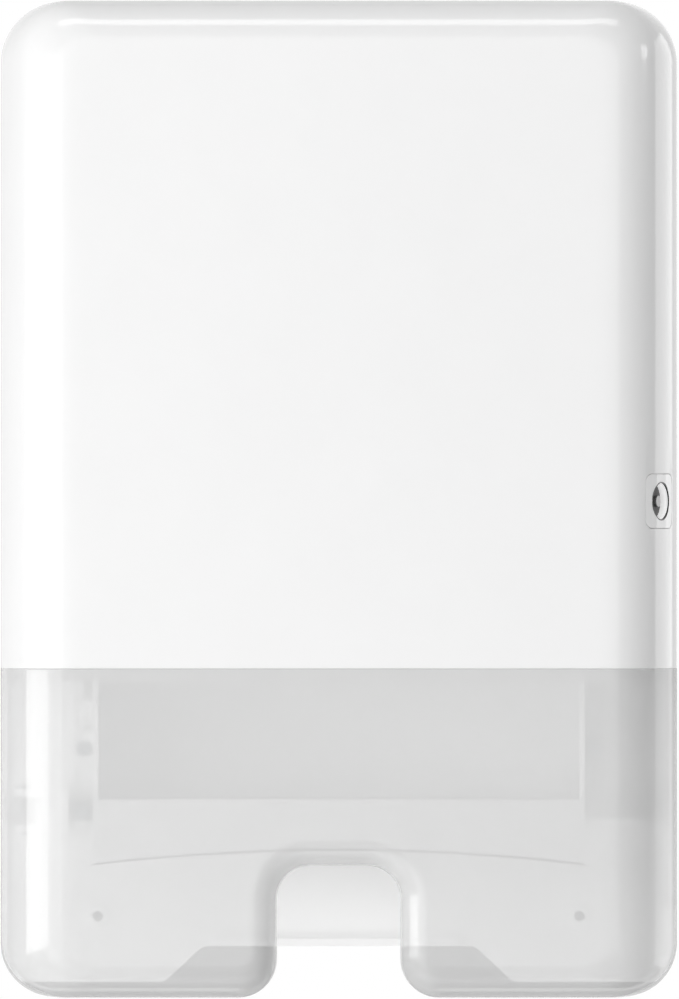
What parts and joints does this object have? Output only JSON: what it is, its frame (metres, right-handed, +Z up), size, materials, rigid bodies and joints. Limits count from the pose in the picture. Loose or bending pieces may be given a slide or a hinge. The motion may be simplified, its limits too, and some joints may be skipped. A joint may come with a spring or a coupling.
{
  "type": "folded hand towel dispenser",
  "caption": "Wall-mounted folded hand towel dispenser with a hinged, key-locked glossy cover, a translucent window with a towel cut-out, side guides, a tray and a sliding latch.",
  "frame": {"origin": "centre of the flat face that lies on the wall, half way up and half way across", "axes": "+Z up, +Y into the wall, -Y the front, +X to the viewer's right"},
  "size_m": [0.302, 0.102, 0.444],
  "materials": {
    "white_cover": "glossy moulded white",
    "grey_window": "glossy moulded translucent grey",
    "white_lock": "glossy moulded white",
    "light_base": "fine textured light grey moulding",
    "light_guide": "fine textured light grey moulding",
    "tray_plastic": "smooth light grey moulding",
    "orifice_plastic": "smooth polished light grey moulding",
    "latch_plastic": "fine textured mid grey moulding",
    "bracket_plastic": "fine textured off-white moulding",
    "pin_steel": "drawn steel wire",
    "screw_steel": "zinc plated",
    "clip_steel": "spring steel strip",
    "lock_metal": "dark plated die casting",
    "key_metal": "polished plated post"
  },
  "bodies": {
    "base": {"back_plate": "light_base", "left_guide": "light_guide", "right_guide": "light_guide", "guide_screws": "screw_steel", "dispensing_tray": "tray_plastic", "tray_screws": "screw_steel", "dispensing_orifice": "orifice_plastic", "lower_hinge_pin": "pin_steel", "upper_hinge_pin": "pin_steel", "latch_keeper": "bracket_plastic", "keeper_pin": "pin_steel", "keeper_screws": "screw_steel"},
    "cover": {"cover_shell": "white_cover", "window": "grey_window", "window_screws": "screw_steel", "lock_housing": "white_lock", "lock_clip": "clip_steel", "latch_guide": "bracket_plastic", "latch_guide_screws": "screw_steel"},
    "lock": {"lock_barrel": "lock_metal", "key_post": "key_metal", "lock_cam": "latch_plastic", "cam_screw": "screw_steel"},
    "latch": {"latch_bar": "latch_plastic"}
  },
  "joints": [
    {"name": "cover_hinge", "type": "hinge", "parent": "base", "child": "cover", "pos_m": [-0.141, -0.018, 0], "axis": [0, 0, -1], "range_deg": [0, 100]},
    {"name": "lock_turn", "type": "hinge", "parent": "cover", "child": "lock", "pos_m": [0.14392, -0.08519, -0.001], "axis": [-0.8988, 0.4384, 0], "range_deg": [0, 90]},
    {"name": "latch_slide", "type": "slide", "parent": "cover", "child": "latch", "axis": [0, 0, -1], "range_m": [0, 0.008]}
  ],
  "couplings": [
    {"joint": "lock_turn", "follows": "latch_slide", "rad_per_m": 196.3}
  ]
}
